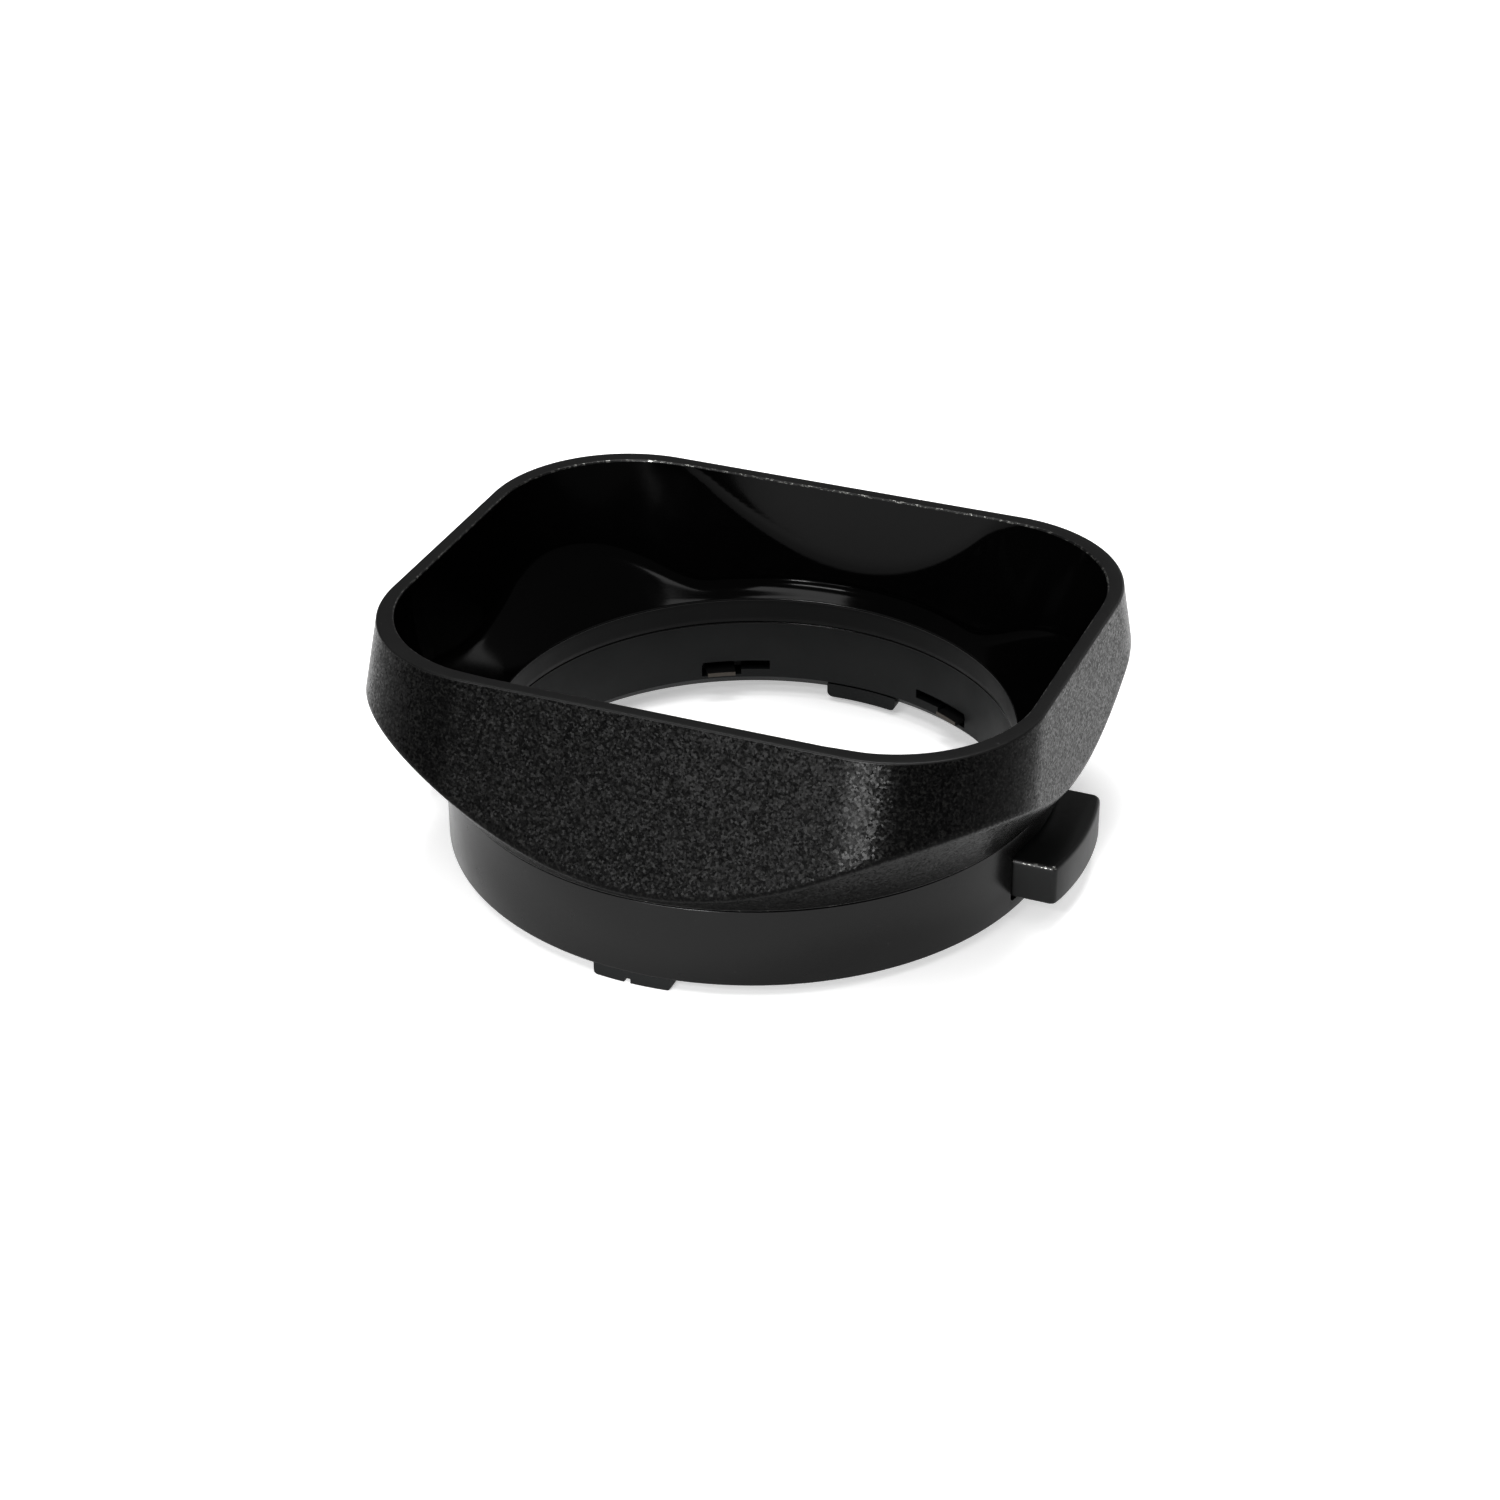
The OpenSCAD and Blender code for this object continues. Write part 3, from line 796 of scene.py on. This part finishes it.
def claw_steel():
    """Blackened steel that has rubbed through to a brownish metal at the claws' tips."""
    # distances from the axis, in millimetres, where the rubbing starts and is full
    rub_start = 23.3
    rub_full = 23.22
    m = Nodes("claw_blackened_steel")
    lines = m.noise(900, detail=3.0, roughness=0.6, stretch=(1, 1, 20))
    flat = m.add("ShaderNodeVectorMath", operation="MULTIPLY")
    flat.inputs[1].default_value = (1, 1, 0)
    m.link(m.place, flat.inputs[0])
    radius = m.add("ShaderNodeVectorMath", operation="LENGTH")
    m.link(flat.outputs["Vector"], radius.inputs[0])
    tip = m.remap(radius.outputs["Value"], rub_start * MM, rub_full * MM, 0, 1)
    colour = m.add("ShaderNodeMix", data_type="RGBA")
    m.link(tip, colour.inputs["Factor"])
    colour.inputs["A"].default_value = (0.012, 0.012, 0.012, 1)
    colour.inputs["B"].default_value = (0.07, 0.061, 0.052, 1)
    m.feed("Base Color", colour.outputs["Result"])
    m.feed("Roughness", m.remap(lines, *SPAN, 0.4, 0.55))
    m.feed("Normal", m.bump(lines, 0.01, 0.4))
    m.set(Metallic=0.6)
    return m.material


# the shade: outside, rim, inside, lower lip, rim's inner edge, throat, and the throat's upper edge,
# which the sleeve's upper edge shares
COAT = powder_coat()
RIM = satin_black("shade_rim_satin", grey(0.004), 0.4, 0.012)
GLOSS = gloss_black()
LIP = worn_edge("shade_worn_lip", 0.6)
WORN = worn_edge("shade_worn_edge", 0.54)
LAND = satin_black("throat_land_satin", (0.0015, 0.0017, 0.0017), 0.36, 0.008, ior=1.22)
EDGE = satin_black("throat_edge_polished", grey(0.004), 0.2, 0.004, ior=1.5)
# the collar, and its top under the shade's lip, painted near black and matt as the shade in the gap there
COLLAR = satin_black("collar_satin", grey(0.002), 0.24, ior=1.35)
PAINTED_GAP_SHADE = satin_black("collar_top_painted_shade", grey(0.0005), 0.7, 0.008, 0.01, ior=1.08)
# the sleeve and the tabs
SLEEVE = satin_black("sleeve_matt", (0.004, 0.0047, 0.0048), 0.5, 0.01, ior=1.32)
TAB = satin_black("tab_satin", (0.005, 0.0053, 0.0053), 0.4, 0.008, ior=1.31)
# the steel pieces inside
SPRING = brushed_steel("spring_blued_steel", (0.05, 0.05, 0.058), 0.36, (1, 1, 40))
CLAW = claw_steel()
SCREW = brushed_steel("screw_dark_steel", (0.1, 0.1, 0.105), 0.35, (1, 1, 1))
# the finish of a CAD node that is shown as it is, by the first of these words in its name
CAD_FINISH = {"rivet": SCREW, "spring_band": SPRING, "slider_plate": SPRING, "claw": CLAW, "screw": SCREW}


def paint(obj, *materials):
    """Fills an object's material slots in order."""
    slots = obj.data.materials
    for i, material in enumerate(materials):
        if i < len(slots):
            slots[i] = material
        else:
            slots.append(material)


paint(shade, COAT, RIM, GLOSS, WORN, LAND, EDGE, LIP)
# the collar's top under the lip gets painted shade, so the gap reads as a black line
paint(collar, COLLAR, PAINTED_GAP_SHADE)
paint(sleeve, SLEEVE, EDGE)
for tab in tabs:
    paint(tab, TAB, WORN)
for name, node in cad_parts.items():
    finish = next((m for word, m in CAD_FINISH.items() if word in name), None)
    if finish:
        paint(node, finish)

# ---------------------------------------------------------------- camera
# direction of the camera from the object, and its roll, in radians
AZIMUTH = 0.3910
ELEVATION = 0.5341
ROLL = -0.0052
# distance from the origin, and where the line of sight passes it, in millimetres
DISTANCE = 302.4
ASIDE = -0.386
ABOVE = 5.835
# sensor width and focal length
SENSOR = 36
FOCAL = 78.68

back = Vector((math.sin(AZIMUTH) * math.cos(ELEVATION), -math.cos(AZIMUTH) * math.cos(ELEVATION),
               math.sin(ELEVATION)))
level_right = Vector((math.cos(AZIMUTH), math.sin(AZIMUTH), 0))
level_up = back.cross(level_right)
right = level_right * math.cos(ROLL) + level_up * math.sin(ROLL)
up = level_up * math.cos(ROLL) - level_right * math.sin(ROLL)
eye = (back * DISTANCE + right * ASIDE + up * ABOVE) * MM
camera = bpy.data.objects.new("camera", bpy.data.cameras.new("camera"))
camera.data.sensor_width = SENSOR
camera.data.lens = FOCAL
camera.data.clip_start = 0.01
camera.data.clip_end = 10
camera.matrix_world = Matrix.Translation(eye) @ Matrix((right, up, back)).transposed().to_4x4()
bpy.context.scene.collection.objects.link(camera)
bpy.context.scene.camera = camera

# ---------------------------------------------------------------- floor
# half the floor's width, in millimetres
FLOOR_HALF = 3000
floor_z = cad_box[0].z / MM
corners = ((-1, -1), (1, -1), (1, 1), (-1, 1))
floor = new_object("floor", [(x * FLOOR_HALF, y * FLOOR_HALF, floor_z) for x, y in corners],
                   [(0, 1, 2, 3)], smooth=False)
pale = bpy.data.materials.new("pale_floor")
pale.use_nodes = True
paper = pale.node_tree.nodes["Principled BSDF"].inputs
paper["Base Color"].default_value = (*grey(0.85), 1)
paper["Roughness"].default_value = 0.9
paper["Specular IOR Level"].default_value = 0.1
paper["Emission Color"].default_value = (1, 1, 1, 1)
paper["Emission Strength"].default_value = 0.45
floor.data.materials.append(pale)

# ---------------------------------------------------------------- light
world = bpy.data.worlds.new("studio")
bpy.context.scene.world = world
world.use_nodes = True
sky = world.node_tree.nodes["Background"].inputs
sky["Color"].default_value = (1, 1, 1, 1)
sky["Strength"].default_value = 0.22

# the point that all softboxes face, in millimetres
LIGHT_TARGET = (0, 0, 8)
# name, place, width and height, and power in watts of each softbox
SOFTBOXES = (
    ("top", (-0.05, 0.15, 1.1), (0.6, 0.6), 10),
    ("window", (0.042, -0.8, 0.16), (0.1, 0.15), 5.3),
    ("window_edge", (-0.14, -0.8, 0.15), (0.22, 0.15), 2.1),
    ("glow", (-0.05, -0.45, 0.88), (0.5, 0.2), 2.2),
    ("glow_right", (0.44, -0.2, 0.87), (0.2, 0.1), 0.4),
    ("strip", (-0.096, -0.683, 0.58), (0.3, 0.05), 1.5),
    ("back", (0.25, 1.0, 0.35), (0.6, 0.3), 1.0),
)
for name, spot, (width, height), watts in SOFTBOXES:
    light = bpy.data.lights.new(name, "AREA")
    light.shape = "RECTANGLE"
    light.size = width
    light.size_y = height
    light.energy = watts
    obj = bpy.data.objects.new(name, light)
    obj.location = spot
    away = Vector(spot) - Vector(LIGHT_TARGET) * MM
    obj.rotation_euler = away.to_track_quat("Z", "Y").to_euler()
    bpy.context.scene.collection.objects.link(obj)

bpy.context.scene.view_settings.view_transform = "Standard"
bpy.context.scene.view_settings.gamma = 0.85
